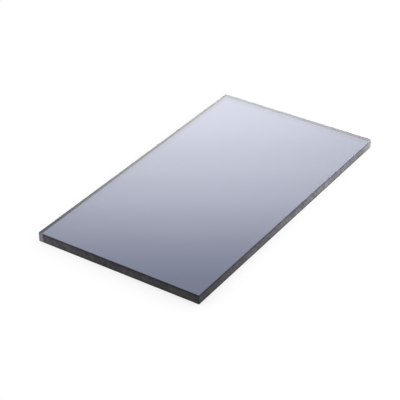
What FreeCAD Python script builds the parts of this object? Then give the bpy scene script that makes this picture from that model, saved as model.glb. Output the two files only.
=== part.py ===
import FreeCAD, Part
import Sketcher
import os

# Polycarbonate sheet: one rectangular piece of solid, smoke-grey glazing stock, sawn to size.
# It is extruded as a single layer with two polished faces, cut on a panel saw, and its sharp
# edges are then scraped to a narrow arris so that they don't cut hands or start a crack.
#
# The sheet lies flat. Its origin is the middle of its underside, with +X along its length,
# +Y across its width and +Z up through its thickness. All lengths are in millimetres.

# The driving sizes: the name of each, its length and what it measures
SIZES = {
    "sheet_length": (200.0, "length of the cut piece"),
    "sheet_width": (110.0, "width of the cut piece"),
    "thickness": (6.0, "gauge of the solid sheet"),
    "face_arris": (0.25, "arris scraped along the edges of both faces"),
    "corner_break": (0.4, "break down each of the upright corners"),
}

NODE = "polycarbonate_sheet"

# An edge that rises by more than this runs up through the thickness
LEVEL_WITHIN = 1e-6

# How a sketch numbers the points of a line, and the pair of numbers that means its origin
LINE_START = 1
LINE_END = 2
SKETCH_ORIGIN = (-1, 1)


def write_sizes(doc):
    """Put the driving sizes into a spreadsheet, one named cell to a row."""
    sheet = doc.addObject("Spreadsheet::Sheet", "Sizes")
    for row, (name, (length, meaning)) in enumerate(SIZES.items(), start=1):
        sheet.set(f"A{row}", str(length))
        sheet.setAlias(f"A{row}", name)
        sheet.set(f"B{row}", meaning)
    doc.recompute()
    return sheet


def draw_outline(body, sizes):
    """Draw the rectangle that the saw cuts, on the body's own XY plane and centred there."""
    sketch = body.newObject("Sketcher::SketchObject", "SawnOutline")
    base_plane = next(plane for plane in body.Origin.OriginFeatures if plane.Role == "XY_Plane")
    sketch.AttachmentSupport = [(base_plane, "")]
    sketch.MapMode = "FlatFace"

    east = sizes.sheet_length / 2
    north = sizes.sheet_width / 2
    corners = [
        FreeCAD.Vector(-east, -north, 0),
        FreeCAD.Vector(east, -north, 0),
        FreeCAD.Vector(east, north, 0),
        FreeCAD.Vector(-east, north, 0),
    ]
    next_corners = corners[1:] + corners[:1]
    sides = [
        sketch.addGeometry(Part.LineSegment(start, end), False)
        for start, end in zip(corners, next_corners)
    ]
    front, right, back, left = sides

    for side, next_side in zip(sides, sides[1:] + sides[:1]):
        sketch.addConstraint(
            Sketcher.Constraint("Coincident", side, LINE_END, next_side, LINE_START)
        )
    sketch.addConstraint(Sketcher.Constraint("Horizontal", front))
    sketch.addConstraint(Sketcher.Constraint("Horizontal", back))
    sketch.addConstraint(Sketcher.Constraint("Vertical", right))
    sketch.addConstraint(Sketcher.Constraint("Vertical", left))

    # Opposite corners mirror each other through the origin, which centres the rectangle
    sketch.addConstraint(
        Sketcher.Constraint("Symmetric", front, LINE_START, back, LINE_START, *SKETCH_ORIGIN)
    )

    length_rule = sketch.addConstraint(
        Sketcher.Constraint("DistanceX", front, LINE_START, front, LINE_END, sizes.sheet_length)
    )
    width_rule = sketch.addConstraint(
        Sketcher.Constraint("DistanceY", right, LINE_START, right, LINE_END, sizes.sheet_width)
    )
    sketch.setExpression(f"Constraints[{length_rule}]", f"{sizes.Name}.sheet_length")
    sketch.setExpression(f"Constraints[{width_rule}]", f"{sizes.Name}.sheet_width")
    return sketch


def extrude_slab(body, sketch, sizes):
    """Raise the outline to the sheet's gauge, from the underside up."""
    slab = body.newObject("PartDesign::Pad", "Slab")
    slab.Profile = sketch
    slab.setExpression("Length", f"{sizes.Name}.thickness")
    return slab


def edge_names(feature, upright):
    """Name the feature's upright edges or, where upright is False, those round its two faces."""
    return [
        f"Edge{number}"
        for number, edge in enumerate(feature.Shape.Edges, start=1)
        if (edge.BoundBox.ZLength > LEVEL_WITHIN) == upright
    ]


def bevel(body, name, feature, upright, size_cell):
    """Take the same 45 degree bevel off the feature's upright edges or off its level ones."""
    chamfer = body.newObject("PartDesign::Chamfer", name)
    chamfer.Base = (feature, edge_names(feature, upright))
    chamfer.ChamferType = "Equal distance"
    chamfer.setExpression("Size", size_cell)
    return chamfer


def make_sheet(doc, sizes):
    """Saw the slab to its outline, ease the corners and scrape the arris round both faces."""
    body = doc.addObject("PartDesign::Body", "Sheet")
    body.Label = NODE
    body.Placement = FreeCAD.Placement()

    outline = draw_outline(body, sizes)
    slab = extrude_slab(body, outline, sizes)
    doc.recompute()

    # The arris is scraped last, so that it follows the outline round the eased corners too
    eased = bevel(body, "CornerBreak", slab, True, f"{sizes.Name}.corner_break")
    doc.recompute()
    bevel(body, "FaceArris", eased, False, f"{sizes.Name}.face_arris")
    doc.recompute()
    return body


def check_model(doc, pieces):
    """Stop if any object failed to compute or any piece isn't one closed, valid solid."""
    for item in doc.Objects:
        if "Invalid" in item.State or "Error" in item.State:
            raise RuntimeError(f"{item.Label} could not be computed: {item.State}")
    for piece in pieces:
        shape = piece.Shape
        if shape.isNull() or not shape.isValid() or len(shape.Solids) != 1:
            raise RuntimeError(f"{piece.Label} is not one valid solid")


def report_size(piece):
    """Print the piece's outer size, its volume and how many faces it has."""
    box = piece.Shape.BoundBox
    print(
        f"{piece.Label}: {box.XLength:.2f} x {box.YLength:.2f} x {box.ZLength:.2f} mm, "
        f"{piece.Shape.Volume / 1000:.2f} cm3, {len(piece.Shape.Faces)} faces"
    )


def write_pieces(pieces):
    """Write each piece to its own STEP file, named after its label."""
    os.makedirs("parts", exist_ok=True)
    for piece in pieces:
        piece.Shape.exportStep(f"parts/{piece.Label}.step")


document = FreeCAD.newDocument("PolycarbonateSheet")
sheet_sizes = write_sizes(document)
sheet_pieces = [make_sheet(document, sheet_sizes)]
check_model(document, sheet_pieces)
for sheet_piece in sheet_pieces:
    report_size(sheet_piece)
write_pieces(sheet_pieces)
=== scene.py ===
# %% [markdown]
# # A smoke-grey polycarbonate sheet
#
# One piece of solid glazing sheet lies on a pale studio floor. It looks too simple to teach
# anything, and then refuses to look like plastic until four things are right: the light that it
# lets through, the light that it mirrors, its sawn edges, and the narrow arris that was scraped
# along them. Each of them gets a step of its own here.
#
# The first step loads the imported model. It fixes the size and place of everything that follows:
# one unit is a metre, the sheet lies on Z = 0, its length runs along X and its width along Y.

import math

import bpy
import numpy as np
from mathutils import Euler, Matrix, Vector


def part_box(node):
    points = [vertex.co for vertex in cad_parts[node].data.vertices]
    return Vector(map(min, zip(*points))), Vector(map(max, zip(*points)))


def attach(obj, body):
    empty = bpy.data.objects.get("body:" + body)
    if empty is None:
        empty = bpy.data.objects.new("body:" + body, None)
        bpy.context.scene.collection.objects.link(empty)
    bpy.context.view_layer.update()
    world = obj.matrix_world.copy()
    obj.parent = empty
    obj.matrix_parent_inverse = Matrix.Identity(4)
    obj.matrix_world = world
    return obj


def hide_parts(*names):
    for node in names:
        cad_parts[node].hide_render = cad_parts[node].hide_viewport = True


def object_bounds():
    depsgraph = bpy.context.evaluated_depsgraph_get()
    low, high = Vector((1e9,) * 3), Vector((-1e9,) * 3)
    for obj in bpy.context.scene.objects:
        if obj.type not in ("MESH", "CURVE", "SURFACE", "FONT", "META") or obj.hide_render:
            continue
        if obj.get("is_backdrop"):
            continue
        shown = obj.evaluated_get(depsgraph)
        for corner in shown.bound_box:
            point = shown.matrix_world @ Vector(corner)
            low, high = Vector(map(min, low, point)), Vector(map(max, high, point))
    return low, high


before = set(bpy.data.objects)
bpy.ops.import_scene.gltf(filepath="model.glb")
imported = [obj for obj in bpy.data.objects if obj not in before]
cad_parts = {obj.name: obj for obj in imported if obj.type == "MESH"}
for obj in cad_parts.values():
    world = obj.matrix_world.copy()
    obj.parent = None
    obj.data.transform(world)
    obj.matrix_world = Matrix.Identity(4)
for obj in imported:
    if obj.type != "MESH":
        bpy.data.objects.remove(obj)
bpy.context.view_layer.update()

SHEET_NODE = "polycarbonate_sheet"
low_corner, high_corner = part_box(SHEET_NODE)
LENGTH, WIDTH, THICKNESS = (high - low for low, high in zip(low_corner, high_corner))
MM = 0.001

print(f"The sheet is {LENGTH / MM:.1f} x {WIDTH / MM:.1f} x {THICKNESS / MM:.1f} mm")

# %% [markdown]
# ## The camera
#
# The outline of the sheet can be read off the photograph to a fraction of a pixel. A pinhole camera
# that lays the edges of a 200 x 110 x 6 mm sheet on that outline stands 0.83 m away, looks down at
# about 33 degrees, and has a long lens. A long lens is what a product photographer would choose,
# because it keeps the far edge from shrinking. It was held a fifth of a degree off level.
#
# The view transform is set to Standard here, which shows a colour as it is written.

# %% Camera
CAMERA_PLACE = (-0.5909, -0.3759, 0.4428)
CAMERA_TURN = math.radians(56.85)
CAMERA_DIP = math.radians(32.66)
CAMERA_ROLL = math.radians(0.215)
LENS_MM = 122.9
FILM_MM = 36.0

camera_data = bpy.data.cameras.new("studio_camera")
camera_data.lens = LENS_MM
camera_data.sensor_width = FILM_MM
camera = bpy.data.objects.new("studio_camera", camera_data)
camera.location = CAMERA_PLACE
aim = Euler((math.pi / 2 - CAMERA_DIP, 0.0, -CAMERA_TURN)).to_matrix()
camera.rotation_euler = (aim @ Matrix.Rotation(CAMERA_ROLL, 3, "Z")).to_euler()
bpy.context.scene.collection.objects.link(camera)
bpy.context.scene.camera = camera
bpy.context.scene.view_settings.view_transform = "Standard"

print(f"The camera stands {Vector(CAMERA_PLACE).length:.2f} m from the middle of the sheet")

# %% [markdown]
# ## The lamp behind the sheet
#
# The top face is darkest at the near corner and palest at the far one. That isn't in the plastic:
# it is the reflection of a soft lamp that stands behind the sheet. The near part of the face
# mirrors the dim upper end of the lamp, and the far part mirrors its bright middle.
#
# A photographer would take a softbox, and Blender's softbox is an area lamp. A glowing plane would
# mirror as well, but the renderer knows where its lamps are, which leaves less noise.

# %% Back lamp
# How far behind the middle of the sheet the lamp stands, and how far to the right of it
BACK_AWAY = 0.7
BACK_SHIFT = -0.03
BACK_WIDE = 0.86
BACK_TALL = 0.62
# Its brightness at the brightest place, where white paper in the studio has about 1
BACK_PEAK = 4.25

# The level direction in which the camera looks, and the one to its right
straight_on = Vector((math.sin(CAMERA_TURN), math.cos(CAMERA_TURN), 0.0))
sideways = Vector((math.cos(CAMERA_TURN), -math.sin(CAMERA_TURN), 0.0))


def add_lamp(name, wide, tall, radiance, place, turn):
    """Stand an upright rectangular lamp on this place, facing back along the compass turn.

    A lamp of even radiance L and area A sheds L * pi * A watts, so the radiance sets the energy.
    """
    data = bpy.data.lights.new(name, "AREA")
    data.shape = "RECTANGLE"
    data.size, data.size_y = wide, tall
    data.energy = radiance * math.pi * wide * tall
    lamp = bpy.data.objects.new(name, data)
    lamp.location = (place[0], place[1], place[2] + tall / 2)
    lamp.rotation_euler = (-math.pi / 2, 0.0, -turn)
    bpy.context.scene.collection.objects.link(lamp)
    return lamp


back_place = BACK_AWAY * straight_on + BACK_SHIFT * sideways
back_lamp = add_lamp("back_lamp", BACK_WIDE, BACK_TALL, BACK_PEAK, back_place, CAMERA_TURN)
# It is only there to be mirrored, and sheds nothing on matt surfaces
back_lamp.visible_diffuse = False

print(f"The back lamp has {back_lamp.data.energy:.1f} W before it is faded")

# %% [markdown]
# ## Small helpers for nodes
#
# A node tree is easiest to read when each line adds one node and says what feeds it. The first
# helper sets a plain value, or links one that comes from another node. The second makes a node and
# feeds its inputs that way, and the third does so for a Math node, whose inputs have numbers
# instead of names. The last one clears out the tree of a lamp, a material or a world, so that it
# holds nothing but what is built here. The back lamp's tree comes first.

# %% Node helpers


def feed(tree, socket, value):
    """Link the socket if the value comes from another node, and set it if it is a plain one."""
    if isinstance(value, bpy.types.NodeSocket):
        tree.links.new(value, socket)
    else:
        socket.default_value = value


def add_node(tree, kind, settings=None, **inputs):
    """Add a node of that kind, set its settings, and give each named input a value or a link."""
    node = tree.nodes.new(kind)
    for name, value in (settings or {}).items():
        setattr(node, name, value)
    for name, value in inputs.items():
        feed(tree, node.inputs[name.replace("_", " ")], value)
    return node


def add_math(tree, operation, *values):
    """Add a Math node that works on these numbers or sockets, and return its result."""
    node = add_node(tree, "ShaderNodeMath", {"operation": operation})
    for socket, value in zip(node.inputs, values):
        feed(tree, socket, value)
    return node.outputs[0]


def empty_tree(owner):
    """Switch on the nodes of a lamp, a material or a world, clear its tree and return it."""
    owner.use_nodes = True
    owner.node_tree.nodes.clear()
    return owner.node_tree


tree = empty_tree(back_lamp.data)
print(f"The back lamp's tree starts with {len(tree.nodes)} nodes")

# %% [markdown]
# ## How the back lamp fades upwards and downwards
#
# A plain area lamp is equally bright all over, and its mirror image would end in a hard line across
# the sheet. A softbox is brightest in its middle and fades towards its ends, so a ramp gives the
# lamp its brightness by height. The smooth kind of ramp is used, because straight pieces would show
# as creases.
#
# Only the upper half of the lamp is mirrored in the photograph's view. The lower half is kept dim,
# because plastic mirrors strongly at a grazing angle: seen from low down on the opposite side, a
# bright foot of the lamp would burn out the top face.

# %% Back lamp fade
BACK_COLOR = (1.0, 0.99, 0.975)
# Height up the lamp as a share of its own height, and the share of the peak that it gives there
BACK_FADE = [(0.0, 0.0), (0.12, 0.02), (0.24, 0.09), (0.34, 0.27), (0.42, 0.60), (0.49, 0.96),
             (0.54, 1.0), (0.62, 0.86), (0.70, 0.665), (0.77, 0.455), (0.84, 0.24), (0.92, 0.055),
             (0.98, 0.0)]


def fill_ramp(ramp, stops):
    """Give a colour ramp these stops of (place, colour), from its left end to its right end."""
    for stop_place, _ in stops[1:-1]:
        ramp.elements.new(stop_place)
    for stop, (stop_place, color) in zip(ramp.elements, stops):
        stop.position = stop_place
        stop.color = (*color, 1.0)


spot = add_node(tree, "ShaderNodeNewGeometry").outputs["Position"]
height = add_node(tree, "ShaderNodeSeparateXYZ", Vector=spot).outputs["Z"]
height_share = add_math(tree, "DIVIDE", height, BACK_TALL)
fade = add_node(tree, "ShaderNodeValToRGB", Fac=height_share)
fade.color_ramp.interpolation = "CARDINAL"
fill_ramp(fade.color_ramp,
          [(place, [bright * part for part in BACK_COLOR]) for place, bright in BACK_FADE])

brightest = max(BACK_FADE, key=lambda stop: stop[1])[0] * BACK_TALL
print(f"The back lamp is brightest {brightest:.2f} m up")

# %% [markdown]
# ## How the back lamp fades sideways
#
# The upright ends of the lamp have to vanish too. A second ramp could do it, but a plain rule is
# enough: the brightness is 1 minus the square of the distance from the middle, as a share of half
# the lamp's width. It is 1 in the middle and 0 at both ends. The ramp gives the glow its colour and
# this rule gives it its strength.

# %% Back lamp, side to side
shift = add_node(tree, "ShaderNodeVectorMath", {"operation": "DOT_PRODUCT"}, Vector=spot)
shift.inputs[1].default_value = sideways
off_middle = add_math(tree, "SUBTRACT", shift.outputs["Value"], BACK_SHIFT)
half_share = add_math(tree, "DIVIDE", off_middle, BACK_WIDE / 2)
dimming = add_math(tree, "MULTIPLY", half_share, half_share)
fullness = add_math(tree, "SUBTRACT", 1.0, dimming)
shine = add_node(tree, "ShaderNodeEmission", Color=fade.outputs["Color"], Strength=fullness)
add_node(tree, "ShaderNodeOutputLight", Surface=shine.outputs[0])

print(f"The back lamp's brightness comes from {len(tree.nodes)} nodes")

# %% [markdown]
# ## The lamp beside the sheet
#
# The long sawn edge gets paler towards the right, as it would beside a small softbox near that end.
# This one stands to the right and in front, so it lights that edge and leaves the short one on the
# left alone. It only sheds light: its mirror image in the faces would hide the smoke tint from
# other sides.

# %% Side lamp
# The middle of the lamp's lower edge
SIDE_PLACE = (0.20, -0.22, 0.02)
SIDE_WIDE = 0.20
SIDE_TALL = 0.20
SIDE_BRIGHT = 2.0

# The compass turn from the sheet's near right corner to the lamp
side_turn = math.atan2(SIDE_PLACE[0] - LENGTH / 2, SIDE_PLACE[1] + WIDTH / 2)
side_lamp = add_lamp("side_lamp", SIDE_WIDE, SIDE_TALL, SIDE_BRIGHT, SIDE_PLACE, side_turn)
side_lamp.visible_glossy = False
side_lamp.visible_transmission = False

print(f"The side lamp has {side_lamp.data.energy:.2f} W")

# %% [markdown]
# ## The floor
#
# The photograph shows the sheet on plain white. One large square is all that the floor needs, and
# its far edge is lost against the white behind it. It lies a fifth of a millimetre under the sheet,
# because two surfaces in one place would flicker.

# %% Floor
FLOOR_HALF = 4.0
FLOOR_DROP = 0.2 * MM

floor_mesh = bpy.data.meshes.new("studio_floor")
floor_corners = np.array([(-1, -1, 0), (1, -1, 0), (1, 1, 0), (-1, 1, 0)]) * FLOOR_HALF
floor_corners[:, 2] = -FLOOR_DROP
floor_mesh.from_pydata(floor_corners.tolist(), [], [(0, 1, 2, 3)])
floor = bpy.data.objects.new("studio_floor", floor_mesh)
bpy.context.scene.collection.objects.link(floor)
floor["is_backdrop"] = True

print(f"The floor is {FLOOR_HALF * 2:.0f} m square, {FLOOR_DROP / MM:.1f} mm under the sheet")

# %% [markdown]
# ## What a mirror and a clear body show
#
# A white background is easily made too bright for the object that stands on it. The way out is to
# ask each ray where it comes from. The Light Path node knows it: the camera, a mirror and a clear
# body may be shown plain white, while matt surfaces get only the light that is meant for them. One
# helper asks, and the other blends two shaders by the answer. The floor's tree is the first to ask.

# %% Ray helpers


def seen_directly(tree):
    """Give 1 to rays that come from the camera, a mirror or a clear body, and 0 to the rest."""
    path = add_node(tree, "ShaderNodeLightPath")
    camera_or_mirror = add_math(
        tree, "MAXIMUM", path.outputs["Is Camera Ray"], path.outputs["Is Glossy Ray"]
    )
    return add_math(tree, "MAXIMUM", camera_or_mirror, path.outputs["Is Transmission Ray"])


def mix_shaders(tree, share, first, second):
    """Blend two shaders: none of the second where share is 0, and nothing but it where it is 1."""
    node = tree.nodes.new("ShaderNodeMixShader")
    for socket, source in zip(node.inputs, (share, first, second)):
        tree.links.new(source, socket)
    return node.outputs[0]


floor_material = bpy.data.materials.new("pale_floor")
floor_mesh.materials.append(floor_material)
tree = empty_tree(floor_material)
floor_seen = seen_directly(tree)
print(f"It takes {len(tree.nodes)} nodes to ask a ray where it comes from")

# %% [markdown]
# ## The look of the floor
#
# The floor is matt and gives back 90% of the light that falls on it. That would show as a very pale
# grey, so rays that come straight from the camera, off a polished face or through it see the paint
# mixed with a plain glow, and the two add up to white. The light that the floor throws back on the
# sheet stays as it is.
#
# The glow's share grows towards the lamp behind, as a real floor washes out there. It stays under
# the whole, which leaves a faint shadow round the sheet. Its growth also lets more light come up
# through the far part of the sheet than through the near corner.

# %% Floor look
FLOOR_WHITE = 0.90
# How far from the foot of the back lamp, and the glow's share there
WASHED_OUT = ((0.72, 0.85), (0.82, 0.60))
# The glow's strength is the first number plus the second times its share, which keeps the sum white
GLOW_STRENGTH = (1.255, -0.27)

paint = add_node(tree, "ShaderNodeBsdfDiffuse", Color=(FLOOR_WHITE, FLOOR_WHITE, FLOOR_WHITE, 1.0))
spot = add_node(tree, "ShaderNodeNewGeometry").outputs["Position"]
from_foot = add_node(tree, "ShaderNodeVectorMath", {"operation": "DISTANCE"}, Vector=spot)
from_foot.inputs[1].default_value = back_place
(near, near_share), (far, far_share) = WASHED_OUT
washed = add_node(tree, "ShaderNodeMapRange", Value=from_foot.outputs["Value"], From_Min=near,
                  From_Max=far, To_Min=near_share, To_Max=far_share).outputs["Result"]
strength = add_math(tree, "MULTIPLY_ADD", washed, GLOW_STRENGTH[1], GLOW_STRENGTH[0])
glow = add_node(tree, "ShaderNodeEmission", Strength=strength)
glow_share = add_math(tree, "MULTIPLY", floor_seen, washed)
shown = mix_shaders(tree, glow_share, paint.outputs[0], glow.outputs[0])
add_node(tree, "ShaderNodeOutputMaterial", Surface=shown)

print(f"The glow's share of the floor's look is {far_share:.0%} to {near_share:.0%}")

# %% [markdown]
# ## The light all round
#
# The world is a studio with white walls. Matt surfaces get an even light from it, at a level at
# which a colour renders about as it is written. The camera sees plain white. Only a mirror can tell
# how high it looks: a polished face that mirrored nothing but white would look like milk, so the
# studio has a dim ceiling, and what is mirrored fades from white at the horizon to that.

# %% World
WORLD_LIGHT = 0.95
CEILING_DIM = 0.15
WHITE_BELOW = math.radians(4)
DIM_ABOVE = math.radians(25)
WHITE = (1.0, 1.0, 1.0, 1.0)

world = bpy.data.worlds.new("white_studio")
bpy.context.scene.world = world
tree = empty_tree(world)
look = add_node(tree, "ShaderNodeTexCoord").outputs["Generated"]
look_up = add_node(tree, "ShaderNodeSeparateXYZ", Vector=look).outputs["Z"]
dimmed = add_node(tree, "ShaderNodeMapRange", Value=look_up, From_Min=math.sin(WHITE_BELOW),
                  From_Max=math.sin(DIM_ABOVE), To_Min=0.0, To_Max=1 - CEILING_DIM)
mirrored = add_node(tree, "ShaderNodeLightPath").outputs["Is Glossy Ray"]
lost = add_math(tree, "MULTIPLY", mirrored, dimmed.outputs["Result"])
brightness = add_math(tree, "SUBTRACT", 1.0, lost)

soft_light = add_node(tree, "ShaderNodeBackground", Color=WHITE, Strength=WORLD_LIGHT)
white_walls = add_node(tree, "ShaderNodeBackground", Color=WHITE, Strength=brightness)
shown = mix_shaders(tree, seen_directly(tree), soft_light.outputs[0], white_walls.outputs[0])
add_node(tree, "ShaderNodeOutputWorld", Surface=shown)

print(f"A mirror sees the ceiling at {CEILING_DIM:.0%} from {math.degrees(DIM_ABOVE):.0f} degrees up")

# %% [markdown]
# ## The outline of the sheet
#
# The real sheet is cut on a panel saw and its sharp edges are then scraped, which leaves a narrow
# bevel that the trade calls an arris. A Bevel modifier on a box could do that much. Here one closed
# path goes once round the sheet instead, and every row of the edge is that path again, shrunk a
# little and set at another height, because each point of it can then get its own saw mark.
#
# Shrinking is easy with mitre vectors, which point inwards from the corners: corner + inset * mitre
# moves every side inwards by the inset and keeps it parallel to where it was.

# %% Corners
# The corner break is as wide as the solid's
CORNER_BREAK = 0.4 * MM
# The sides in the order of the walk, with a cut corner after each of the four long ones
FRONT, _, RIGHT, _, BACK, _, LEFT, _ = range(8)


def cut_corners():
    """The corners of a rectangle whose four corners are cut at 45 degrees, and their mitres.

    A mitre is minus the sum of the outward unit normals of the two sides that meet in the corner,
    divided by 1 plus the dot product of the two.
    """
    x, y, cut = LENGTH / 2, WIDTH / 2, CORNER_BREAK
    corners = np.array([(-x + cut, -y), (x - cut, -y), (x, -y + cut), (x, y - cut),
                        (x - cut, y), (-x + cut, y), (-x, y - cut), (-x, -y + cut)])
    sides = np.roll(corners, -1, axis=0) - corners
    lengths = np.linalg.norm(sides, axis=1)
    outward = np.stack([sides[:, 1], -sides[:, 0]], axis=1) / lengths[:, None]
    before = np.roll(outward, 1, axis=0)
    mitres = -(before + outward) / (1 + (before * outward).sum(axis=1))[:, None]
    return corners, mitres


corners, mitres = cut_corners()
print(f"The outline has {len(corners)} corners")

# %% [markdown]
# ## The walk round the sheet
#
# The walk divides every side into even steps of about a sixth of a millimetre, which is fine enough
# for the marks of single teeth. Subdividing a box would make such small faces all over the polished
# faces as well, where nobody needs them.

# %% Outline
COLUMN_PITCH = 0.16 * MM
FEWEST_COLUMNS = 2


def walk_outline():
    """Walk once round the sheet, anticlockwise as seen from above, in even steps.

    Points along a side lie in line between its two ends, and so do their mitre vectors. Returns the
    points, their mitres, the side that each is on and how far along it as a share, and where each
    side starts and its length.
    """
    sides = np.roll(corners, -1, axis=0) - corners
    mitre_turns = np.roll(mitres, -1, axis=0) - mitres
    lengths = np.linalg.norm(sides, axis=1)
    starts = np.concatenate([[0.0], np.cumsum(lengths)[:-1]])

    counts = np.maximum(np.round(lengths / COLUMN_PITCH).astype(int), FEWEST_COLUMNS)
    side = np.repeat(np.arange(len(corners)), counts)
    first = np.concatenate([[0], np.cumsum(counts)[:-1]])
    travel = (np.arange(counts.sum()) - first[side]) / counts[side]
    points = corners[side] + travel[:, None] * sides[side]
    mitre = mitres[side] + travel[:, None] * mitre_turns[side]
    return points, mitre, side, travel, starts, lengths


outline, mitre, side, travel, side_start, side_length = walk_outline()
along = side_start[side] + travel * side_length[side]
PERIMETER = side_length.sum()
COLUMNS = len(outline)
print(f"{COLUMNS} columns go round {PERIMETER / MM:.1f} mm")

# %% [markdown]
# ## Noise on the edge
#
# A saw leaves nothing even, and neither does a hand. Unevenness can come from tables of seeded
# random numbers with smooth blends between them, which is called value noise. Blender has noise
# textures too, but numbers in numpy can shape the mesh itself, and the seed makes them come out
# the same each time. Layers of coarse and fine noise are added up where one would look too regular.

# %% Noise
# The underside of the sheet is this many rows into the table
FIRST_ROW = 2.0


def value_noise(along, up, along_pitch, up_pitch, seed):
    """Random numbers from 0 to 1 on a grid of these pitches, blended smoothly in between.

    Round the sheet the table repeats, so that the pattern meets itself without a seam. Between
    grid lines each share t is eased to t * t * (3 - 2 * t), and the four corners are mixed by it.
    """
    across = max(round(PERIMETER / along_pitch), 1)
    a = along / PERIMETER * across
    b = up / up_pitch + FIRST_ROW
    ia, ib = np.floor(a).astype(int), np.floor(b).astype(int)
    ta, tb = a - ia, b - ib
    ta, tb = ta * ta * (3 - 2 * ta), tb * tb * (3 - 2 * tb)
    table = np.random.default_rng(seed).random((across, ib.max() + 2))
    left, right = ia % across, (ia + 1) % across
    low = table[left, ib] * (1 - ta) + table[right, ib] * ta
    high = table[left, ib + 1] * (1 - ta) + table[right, ib + 1] * ta
    return low * (1 - tb) + high * tb


def layered_noise(layers, along, up):
    """Add up layers of value noise: each has a weight, a pitch along and up, and a seed."""
    return sum(
        weight * value_noise(along, up, along_pitch, up_pitch, seed)
        for weight, along_pitch, up_pitch, seed in layers
    )


def edge_noise(pitch, seed):
    """Value noise that changes along the edge only, with one number for each column."""
    return value_noise(along, np.zeros(COLUMNS), pitch, 1.0, seed)


print(f"Noise with a pitch of 1 mm repeats after {PERIMETER / MM:.0f} numbers, once round the sheet")

# %% [markdown]
# ## Rows of the edge
#
# The walk is repeated in rows from the top face to the underside. The first and the last row are
# the rims of the two polished faces, and the rows next to them are where the bevels meet the cut.
# The rows in between share out the cut, so that a mark can change on its way down.

# %% Rows
# The arris is as wide as the solid's
ARRIS = 0.25 * MM
# How far from the arris the rows in between begin, and how many there are
BELOW_ARRIS = 0.10 * MM
CUT_ROWS = 15

cut_top, cut_bottom = THICKNESS - ARRIS, ARRIS
cut_heights = np.linspace(cut_top - BELOW_ARRIS, cut_bottom + BELOW_ARRIS, CUT_ROWS)
row_heights = np.concatenate([[THICKNESS, cut_top], cut_heights, [cut_bottom, 0.0]])
grid_along, grid_up = np.meshgrid(along, row_heights)
# 1 on the rows of the cut, and 0 on the two rims
on_edge = np.ones(len(row_heights))
on_edge[[0, -1]] = 0.0
print(f"{len(row_heights)} rows of {COLUMNS} points make the edge")

# %% [markdown]
# ## Saw marks
#
# A circular blade leaves its teeth's arcs across the cut. They are a few hundredths of a millimetre
# deep and uneven, because the sheet is fed by hand, and here and there the plastic has torn out in
# a pit. A bump map would show them on the face of the cut, but not in its outline, so they are real
# dents. The arcs come from sliding the noise along the edge by the blade's own curve. Every mark
# only goes inwards, so that the sheet stays inside its true size.

# %% Saw marks
# The radius of the blade, and the height of its axis, which is below the table of the saw
BLADE_RADIUS = 125 * MM
BLADE_AXIS = -45 * MM
# How far from a corner the marks reach their full depth
MARKS_START = 0.6 * MM
# Depth of a mark, its pitch along the edge and up it, and the seed of its noise
TOOTH_MARKS = [
    (0.014 * MM, 0.62 * MM, 4 * MM, 11),
    (0.012 * MM, 1.7 * MM, 9 * MM, 12),
    (0.030 * MM, 9.0 * MM, 20 * MM, 13),
]
# A pit is left where its noise rises above the threshold
PIT_DEPTH = 0.050 * MM
PIT_SIZE = (0.8 * MM, 0.9 * MM)
PIT_ABOVE = 0.8
PIT_SEED = 14


def blade_slide(up):
    """How far along the edge a tooth has moved by this height, seen square on to the cut.

    The rim of the blade is a circle. At a height h above the axis it is sqrt(radius^2 - h^2) away
    from the upright line through the axis, and its value at the underside is taken off.
    """
    return np.sqrt(BLADE_RADIUS**2 - (up - BLADE_AXIS) ** 2) - math.sqrt(
        BLADE_RADIUS**2 - BLADE_AXIS**2
    )


swept = grid_along - blade_slide(grid_up)

# The corners were scraped, not sawn, so the marks die away just before them
long_side = side_length[side] > CORNER_BREAK * 2
from_end = np.minimum(travel, 1 - travel) * side_length[side]
fade_in = np.clip(from_end / MARKS_START, 0, 1) * long_side

pits = np.clip(value_noise(grid_along, grid_up, *PIT_SIZE, PIT_SEED) - PIT_ABOVE, 0, 1)
marks = layered_noise(TOOTH_MARKS, swept, grid_up) + PIT_DEPTH * pits
depth = marks * on_edge[:, None] * fade_in[None, :]
print(f"The saw marks are up to {depth.max() / MM:.3f} mm deep")

# %% [markdown]
# ## The scraped arris
#
# The arris was scraped by hand, so its width wanders, and here and there it has a nick. That is
# enough to break up its glint, which a perfect bevel would show as one ruled line. With it, every
# point of the edge has its inset, and the mitre vectors turn the insets into places.

# %% Scraped arris
# How far the width wanders in all, in steps of what pitch, and the seed of its noise
WANDER_DEPTH = 0.035 * MM
WANDER_PITCH = 2.5 * MM
WANDER_SEED = 15
# A nick is left where its noise rises above the threshold
NICK_DEPTH = 0.30 * MM
NICK_PITCH = 0.7 * MM
NICK_ABOVE = 0.9
NICK_SEED = 16
# The noise runs from 0 to 1
NOISE_MIDDLE = 0.5

wander = WANDER_DEPTH * (edge_noise(WANDER_PITCH, WANDER_SEED) - NOISE_MIDDLE)
nicks = NICK_DEPTH * np.clip(edge_noise(NICK_PITCH, NICK_SEED) - NICK_ABOVE, 0, 1)
arris_width = ARRIS + wander + nicks
inset = depth + (1 - on_edge)[:, None] * arris_width[None, :]

rings = np.concatenate(
    [
        outline[None, :, :] + inset[:, :, None] * mitre[None, :, :],
        np.broadcast_to(row_heights[:, None, None], inset.shape + (1,)),
    ],
    axis=2,
)
print(f"The arris is {arris_width.min() / MM:.2f} to {arris_width.max() / MM:.2f} mm wide")

# %% [markdown]
# ## The polished faces
#
# The rings are joined by four-sided faces, and the top and the bottom ring still have to be closed.
# One face with thousands of corners could do it, but Blender would split it into slivers as long as
# the sheet, and rays slip past such slivers. So each polished face is a grid of squares, set in a
# little from the edge, and a border of small fans joins it to the ring. It all lies in one plane,
# because a polished face is flat and must not ripple.

# %% Polished faces
# How wide the border of fans is, and about how large a square of the grid is
FAN_DEPTH = 3 * MM
SQUARE = 6 * MM

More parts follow.
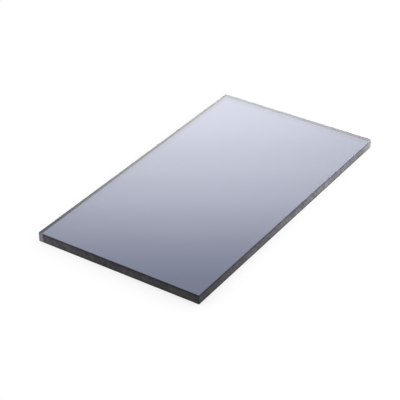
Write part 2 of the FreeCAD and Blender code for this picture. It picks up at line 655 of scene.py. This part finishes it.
squares_long = round((LENGTH - 2 * FAN_DEPTH) / SQUARE)
squares_short = round((WIDTH - 2 * FAN_DEPTH) / SQUARE)
border_count = np.array([squares_long, 0, squares_short, 0] * 2)
border_start = np.concatenate([[0], np.cumsum(border_count)[:-1]])


def polished_face(ring_vertices, height, first_vertex):
    """Close a ring with a flat grid of squares and the fans that join the two.

    The grid's own border is walked in step with the ring. Each column of the ring belongs to the
    border point abreast of it, which makes a fan of thin triangles round that point, and one more
    triangle fills the gap between two fans. All of them face up.
    """
    xs = np.linspace(-1, 1, squares_long + 1) * (LENGTH / 2 - FAN_DEPTH)
    ys = np.linspace(-1, 1, squares_short + 1) * (WIDTH / 2 - FAN_DEPTH)
    grid_x, grid_y = np.meshgrid(xs, ys)
    points = np.stack([grid_x, grid_y, np.full(grid_x.shape, height)], axis=-1).reshape(-1, 3)
    number = first_vertex + np.arange(len(points)).reshape(grid_x.shape)
    squares = np.stack(
        [number[:-1, :-1], number[:-1, 1:], number[1:, 1:], number[1:, :-1]], axis=-1
    ).reshape(-1, 4)

    border = np.concatenate([number[0, :-1], number[:-1, -1], number[-1, :0:-1], number[:0:-1, 0]])
    abreast = (border_start[side] + np.round(travel * border_count[side]).astype(int)) % len(border)
    next_ring, next_abreast = np.roll(ring_vertices, -1), np.roll(abreast, -1)
    fans = np.stack([ring_vertices, next_ring, border[abreast]], axis=-1)
    gaps = np.stack([border[abreast], next_ring, border[next_abreast]], axis=-1)
    return points, squares, np.concatenate([fans, gaps[abreast != next_abreast]])


ring_count = len(row_heights)
top_ring = np.arange(COLUMNS)
bottom_ring = (ring_count - 1) * COLUMNS + np.arange(COLUMNS)
top_points, top_squares, top_fans = polished_face(top_ring, THICKNESS, ring_count * COLUMNS)
bottom_points, bottom_squares, bottom_fans = polished_face(
    bottom_ring, 0.0, ring_count * COLUMNS + len(top_points)
)
print(f"Each polished face has {len(top_squares)} squares and {len(top_fans)} thin triangles")

# %% [markdown]
# ## The mesh
#
# The cut faces come first in the mesh and the polished ones after them, which makes it easy to tell
# them apart. The attribute "sawn" is 1 on the faces that a tool has cut and 0 on the polished ones,
# so one material can finish both. The cut is shaded smooth, and the bevels keep their sharp lines.

# %% Sheet mesh
SHARP_FROM = math.radians(30)

row, column = np.meshgrid(np.arange(ring_count - 1), np.arange(COLUMNS), indexing="ij")
next_column = (column + 1) % COLUMNS
cut_faces = np.stack(
    [
        (row + 1) * COLUMNS + column,
        (row + 1) * COLUMNS + next_column,
        row * COLUMNS + next_column,
        row * COLUMNS + column,
    ],
    axis=-1,
).reshape(-1, 4)
polished_faces = [top_squares, top_fans, bottom_squares[:, ::-1], bottom_fans[:, ::-1]]

vertices = np.concatenate([rings.reshape(-1, 3), top_points, bottom_points])
faces = cut_faces.tolist()
for group in polished_faces:
    faces += group.tolist()

sheet_mesh = bpy.data.meshes.new("smoke_sheet")
sheet_mesh.from_pydata(vertices.tolist(), [], faces)
sheet = bpy.data.objects.new("smoke_sheet", sheet_mesh)
bpy.context.scene.collection.objects.link(sheet)

sawn = np.arange(len(faces)) < len(cut_faces)
sheet_mesh.polygons.foreach_set("use_smooth", sawn)
sheet_mesh.attributes.new("sawn", "FLOAT", "FACE").data.foreach_set("value", sawn.astype(float))
sheet_mesh.set_sharp_from_angle(angle=SHARP_FROM)
print(f"{len(vertices)} points, {len(faces)} faces")

# %% [markdown]
# ## The edge as a tape
#
# The finest scratches need a map that follows the cut. This one lays the cut edge out flat, like a
# tape pulled off it: how far along, and how high. It is in metres and slides with the blade's arcs,
# so a scratch pattern needs no other measure. An automatic unwrap would cut the tape in pieces.

# %% Unrolled map
# The last column meets the first one again, where the tape has come to its end
next_along = np.append(along[1:], PERIMETER)
tape_along = np.stack([along[column], next_along[column], next_along[column], along[column]], -1)
tape_up = row_heights[np.stack([row + 1, row + 1, row, row], -1)]
tape = np.stack([tape_along - blade_slide(tape_up), tape_up], -1).reshape(-1, 2)
flat = np.concatenate([vertices[group.ravel(), :2] for group in polished_faces])
unrolled = sheet_mesh.uv_layers.new(name="unrolled")
unrolled.data.foreach_set("uv", np.concatenate([tape, flat]).ravel())
print(f"The tape is {np.ptp(tape[:, 0]) / MM:.1f} mm long")

# %% [markdown]
# ## How white the cut is
#
# A saw tears the plastic into tiny facets that scatter light, and turns a clear edge into a frosted
# one. On smoke-grey sheet the frost is dark, and it is far from even. It is thin at the near corner
# and grows paler along the long edge, partly as thicker frost and partly as painted light, as from a
# lamp at the right end, and the teeth have streaked it. At the far end of the short edge and at the
# right end of the long edge there is a plain pale strip of painted light, which stands for light that
# comes through the corner.
#
# An image could hold all that, but only at one size. Here a few stops are set on the walk round the
# sheet, and numpy blends between them at every column of the mesh.

# %% Frost along the edge
# Stops of the walk: the side and how far along it as a share, how white the cut and the arris are
# there, painted light included, how strong the painted shade lines are, how far the cut is streaked,
# and how closed it is inside
FROST_STOPS = [
    (FRONT, 0.0, 0.040, 0.02, 1.0, 1.0, 0.9), (FRONT, 0.3, 0.090, 0.09, 1.0, 1.0, 0.9),
    (FRONT, 0.5, 0.150, 0.20, 1.0, 1.0, 0.9), (FRONT, 0.7, 0.192, 0.36, 1.0, 0.9, 0.9),
    (FRONT, 0.96, 0.236, 0.55, 0.8, 0.5, 0.9), (FRONT, 0.98, 0.300, 0.60, 0.4, 0.3, 0.9),
    (FRONT, 1.0, 0.420, 0.60, 0.1, 0.2, 0.5), (RIGHT, 0.0, 0.420, 0.60, 0.1, 0.2, 0.4),
    (RIGHT, 0.02, 0.280, 0.50, 0.5, 0.5, 0.4), (RIGHT, 1.0, 0.130, 0.20, 1.0, 1.0, 0.3),
    (BACK, 0.0, 0.110, 0.12, 1.0, 1.0, 0.7), (BACK, 0.3, 0.090, 0.10, 1.0, 1.0, 1.0),
    (BACK, 1.0, 0.050, 0.05, 1.0, 1.0, 1.0), (LEFT, 0.0, 0.230, 0.20, 0.2, 0.3, 1.0),
    (LEFT, 0.02, 0.210, 0.20, 0.3, 0.3, 0.9), (LEFT, 0.03, 0.069, 0.11, 1.0, 1.0, 0.9),
    (LEFT, 0.3, 0.041, 0.05, 1.0, 1.0, 0.9), (LEFT, 1.0, 0.028, 0.015, 1.0, 1.0, 0.9),
]

stop_side, stop_share, *stop_values = zip(*FROST_STOPS)
stop_along = side_start[list(stop_side)] + stop_share * side_length[list(stop_side)]
# This whiteness holds painted light: the pale right end of the long edge, and the pale corner strips
cut_frost_and_light, arris_frost_and_light, painted_shade_lines, streaked, closed_inside = (
    np.interp(along, stop_along, values, period=PERIMETER) for values in stop_values
)
print(f"Along the edge the cut's whiteness goes from {cut_frost_and_light.min():.2f} to {cut_frost_and_light.max():.2f}")

# %% [markdown]
# ## The frost from top to bottom
#
# Along the top of the cut, next to the arris, a painted shade line darkens the frost, and a fainter
# dark line runs along the bottom. The teeth's streaks cross the cut on the blade's arcs. A few more
# stops down the cut make the two lines, and noise makes the streaks.
#
# Two attributes keep the result at every point of the mesh. The first is the share of the light that
# the cut gives back outside, which is frost with the painted light and shade in it, and "skin" is how
# closed the cut is to light that comes from inside.

# %% Frost
# Stops down the cut: millimetres below the top face, and the share of the frost that is left there
# where the painted shade lines are at full strength
SHADE_LINES_DOWN = [(0.3, 0.12), (0.8, 0.55), (1.4, 0.91), (3.0, 1.03), (4.6, 1.0), (5.1, 0.70),
              (5.75, 0.30)]
# The same for how closed the cut is inside: low down, light from the floor gets into it
SKIN_DOWN = [(0.0, 1.0), (3.8, 1.0), (6.0, 0.4)]
# Weight of a streak, its pitch along the edge and up it, and the seed of its noise
STREAKS = [
    (0.42, 0.95 * MM, 2.0 * MM, 21),
    (0.38, 0.42 * MM, 2.4 * MM, 22),
    (0.20, 8.0 * MM, 12.0 * MM, 23),
]
# The arris has the first share of its whiteness, and up to the second more where noise is high
SCRAPED_FROM, SCRAPED_SPREAD = 0.7, 0.6
SCRAPED_PITCH = 0.7 * MM
SCRAPED_SEED = 24


def by_height(stops):
    """Blend stops of (millimetres below the top face, share) for each row of the edge."""
    down, share_left = zip(*stops)
    return np.interp(THICKNESS - row_heights, np.array(down) * MM, share_left)[:, None]


streaks = layered_noise(STREAKS, swept, grid_up)
streaks = 1 + streaked * (streaks / streaks.mean() - 1)
# Painted shade takes frost off in a line along the top of the cut, and a fainter dark line runs along
# the bottom
frost_and_painted_light = cut_frost_and_light * (1 - painted_shade_lines * (1 - by_height(SHADE_LINES_DOWN))) * streaks
scraped = SCRAPED_FROM + SCRAPED_SPREAD * edge_noise(SCRAPED_PITCH, SCRAPED_SEED)
frost_and_painted_light[[0, 1, -2, -1]] = arris_frost_and_light * scraped
skin = closed_inside * by_height(SKIN_DOWN)

# The frost attribute also carries the painted light and shade from above
for name, values in (("frost_and_painted_light", frost_and_painted_light), ("skin", skin)):
    point_values = np.zeros(len(vertices))
    point_values[: frost_and_painted_light.size] = values.ravel()
    sheet_mesh.attributes.new(name, "FLOAT", "POINT").data.foreach_set("value", point_values)
sheet_mesh.update()
print(f"The frost gives back {frost_and_painted_light.min():.2f} to {frost_and_painted_light.max():.2f} of the light")

# %% [markdown]
# ## The colour of the cut
#
# The frost is nearly grey, a little warm low down and bluer near the top. A ramp by height gives that
# cast, and the attribute that holds the frost, with its painted light and shade, gives its strength.
#
# From inside, the cut looks quite different. Light that has come to it the long way through the
# smoke has lost its red and most of its green. A renderer gives such long paths up early and would
# show them black, so the back of the frost gets the deep blue that is left of the light.

# %% Colour of the cut
# Height up the cut as a share of the thickness, and the frost's colour there
FROST_COLORS = [(0.0, (1.03, 0.98, 1.01)), (0.5, (1.03, 0.98, 1.07)), (1.0, (0.96, 0.95, 1.20))]
INSIDE_BLUE = (0.0, 0.08, 0.42, 1.0)

smoke = bpy.data.materials.new("smoke_polycarbonate")
sheet_mesh.materials.append(smoke)
tree = empty_tree(smoke)

from_inside = add_node(tree, "ShaderNodeNewGeometry").outputs["Backfacing"]
whiteness = add_node(tree, "ShaderNodeAttribute", {"attribute_name": "frost_and_painted_light"}).outputs["Fac"]
place = add_node(tree, "ShaderNodeTexCoord").outputs["Object"]
height = add_node(tree, "ShaderNodeSeparateXYZ", Vector=place).outputs["Z"]
height_share = add_math(tree, "DIVIDE", height, THICKNESS)
frost_color = add_node(tree, "ShaderNodeValToRGB", Fac=height_share)
fill_ramp(frost_color.color_ramp, FROST_COLORS)
frost_and_light_color = add_node(tree, "ShaderNodeVectorMath", {"operation": "SCALE"},
                    Vector=frost_color.outputs["Color"], Scale=whiteness).outputs["Vector"]
cut_color = add_node(tree, "ShaderNodeMixRGB", Fac=from_inside, Color1=frost_and_light_color,
                     Color2=INSIDE_BLUE).outputs["Color"]

print(f"The frost's colour comes from {len(tree.nodes)} nodes")

# %% [markdown]
# ## Scratches and wipe marks
#
# The finest scratches of the teeth are too small to be worth a mesh, so a bump map adds them to the
# cut: noise on the unrolled map, stretched up it. The same noise makes the cut rougher in some
# places than in others. The polished faces have no relief at all. Their roughness is all but none
# and changes slowly, as on a sheet that was wiped with a cloth after the film came off.

# %% Scratches
# How wide and how long a scratch is, how deep, and how many finer layers its noise has
SCRATCH_SIZE = (0.30 * MM, 2.5 * MM)
SCRATCH_DEPTH = 0.012 * MM
SCRATCH_DETAIL = 2.0
# How large a wipe mark is, its finer layers, and the most roughness that the cloth has left
WIPE_SIZE = 22 * MM
WIPE_DETAIL = 3.0
FACE_ROUGH = 0.02
# The cut's least roughness, and how much the scratches add to it
CUT_ROUGH = (0.42, 0.20)

cut = add_node(tree, "ShaderNodeAttribute", {"attribute_name": "sawn"}).outputs["Fac"]
tape_map = add_node(tree, "ShaderNodeUVMap", {"uv_map": "unrolled"}).outputs["UV"]
stretched = add_node(tree, "ShaderNodeMapping", Vector=tape_map,
                     Scale=(1 / SCRATCH_SIZE[0], 1 / SCRATCH_SIZE[1], 1.0))
scratches = add_node(tree, "ShaderNodeTexNoise", {"noise_dimensions": "2D"},
                     Vector=stretched.outputs[0], Scale=1.0, Detail=SCRATCH_DETAIL).outputs["Fac"]
wiped = add_node(tree, "ShaderNodeTexNoise", Vector=place, Scale=1 / WIPE_SIZE,
                 Detail=WIPE_DETAIL).outputs["Fac"]

cut_rough = add_math(tree, "MULTIPLY_ADD", scratches, CUT_ROUGH[1], CUT_ROUGH[0])
face_rough = add_math(tree, "MULTIPLY", wiped, FACE_ROUGH)
rougher = add_math(tree, "SUBTRACT", cut_rough, face_rough)
roughness = add_math(tree, "MULTIPLY_ADD", cut, rougher, face_rough)
relief = add_math(tree, "MULTIPLY", cut, scratches)
bump = add_node(tree, "ShaderNodeBump", Height=relief, Distance=SCRATCH_DEPTH).outputs["Normal"]

print(f"The scratches are {SCRATCH_SIZE[0] / MM:.2f} mm wide and {SCRATCH_DEPTH / MM:.3f} mm deep")

# %% [markdown]
# ## The plastic
#
# Clear plastic is easy to fake and easy to get wrong. Its colour isn't on its surface. It is inside,
# where light fades with every millimetre that it travels, the red first. So the surface is clear
# and colourless, with polycarbonate's own refractive index, and Volume Absorption does the tinting.
# That is why the sheet is a mid grey through its faces, and nearly black from its edges inwards.
#
# The cut is the same plastic under its frost. Outside, nine tenths of it scatter light and the rest
# is still clear, and inside the attribute "skin" says how much of it is closed. Two shaders and one
# mix between them are enough for the whole sheet.

# %% Plastic
IOR = 1.585
# After d metres, exp(-ABSORB * (1 - TINT) * d) is left of each colour of the light
TINT = (0.262, 0.315, 0.497, 1.0)
ABSORB = 240.0
# How much of the cut scatters light outside, and how glossy that frost is, where 0.5 is plain
FROST_SHARE = 0.90
FROST_GLOSS = 0.1

clear = add_node(tree, "ShaderNodeBsdfPrincipled", Base_Color=WHITE, IOR=IOR,
                 Transmission_Weight=1.0, Roughness=roughness, Normal=bump)
frosted = add_node(tree, "ShaderNodeBsdfPrincipled", Base_Color=cut_color, IOR=IOR,
                   Specular_IOR_Level=FROST_GLOSS, Roughness=roughness, Normal=bump)
skin_inside = add_node(tree, "ShaderNodeAttribute", {"attribute_name": "skin"}).outputs["Fac"]
inside_more = add_math(tree, "SUBTRACT", skin_inside, FROST_SHARE)
closed = add_math(tree, "MULTIPLY_ADD", from_inside, inside_more, FROST_SHARE)
frost_share = add_math(tree, "MULTIPLY", cut, closed)
surface = mix_shaders(tree, frost_share, clear.outputs[0], frosted.outputs[0])
smoke_inside = add_node(tree, "ShaderNodeVolumeAbsorption", Color=TINT, Density=ABSORB)
add_node(tree, "ShaderNodeOutputMaterial", Surface=surface, Volume=smoke_inside.outputs[0])

red, green, blue = (math.exp(-ABSORB * (1 - part) * THICKNESS) for part in TINT[:3])
print(f"Straight through go {red:.0%} of the red, {green:.0%} of the green, {blue:.0%} of the blue")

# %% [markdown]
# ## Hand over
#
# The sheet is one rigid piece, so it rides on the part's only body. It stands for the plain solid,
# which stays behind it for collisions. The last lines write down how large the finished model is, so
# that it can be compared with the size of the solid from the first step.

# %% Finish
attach(sheet, "root")
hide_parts(SHEET_NODE)

lowest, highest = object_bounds()
sizes = [(high - low) / MM for low, high in zip(lowest, highest)]
print("The finished model is {:.1f} x {:.1f} x {:.1f} mm".format(*sizes))
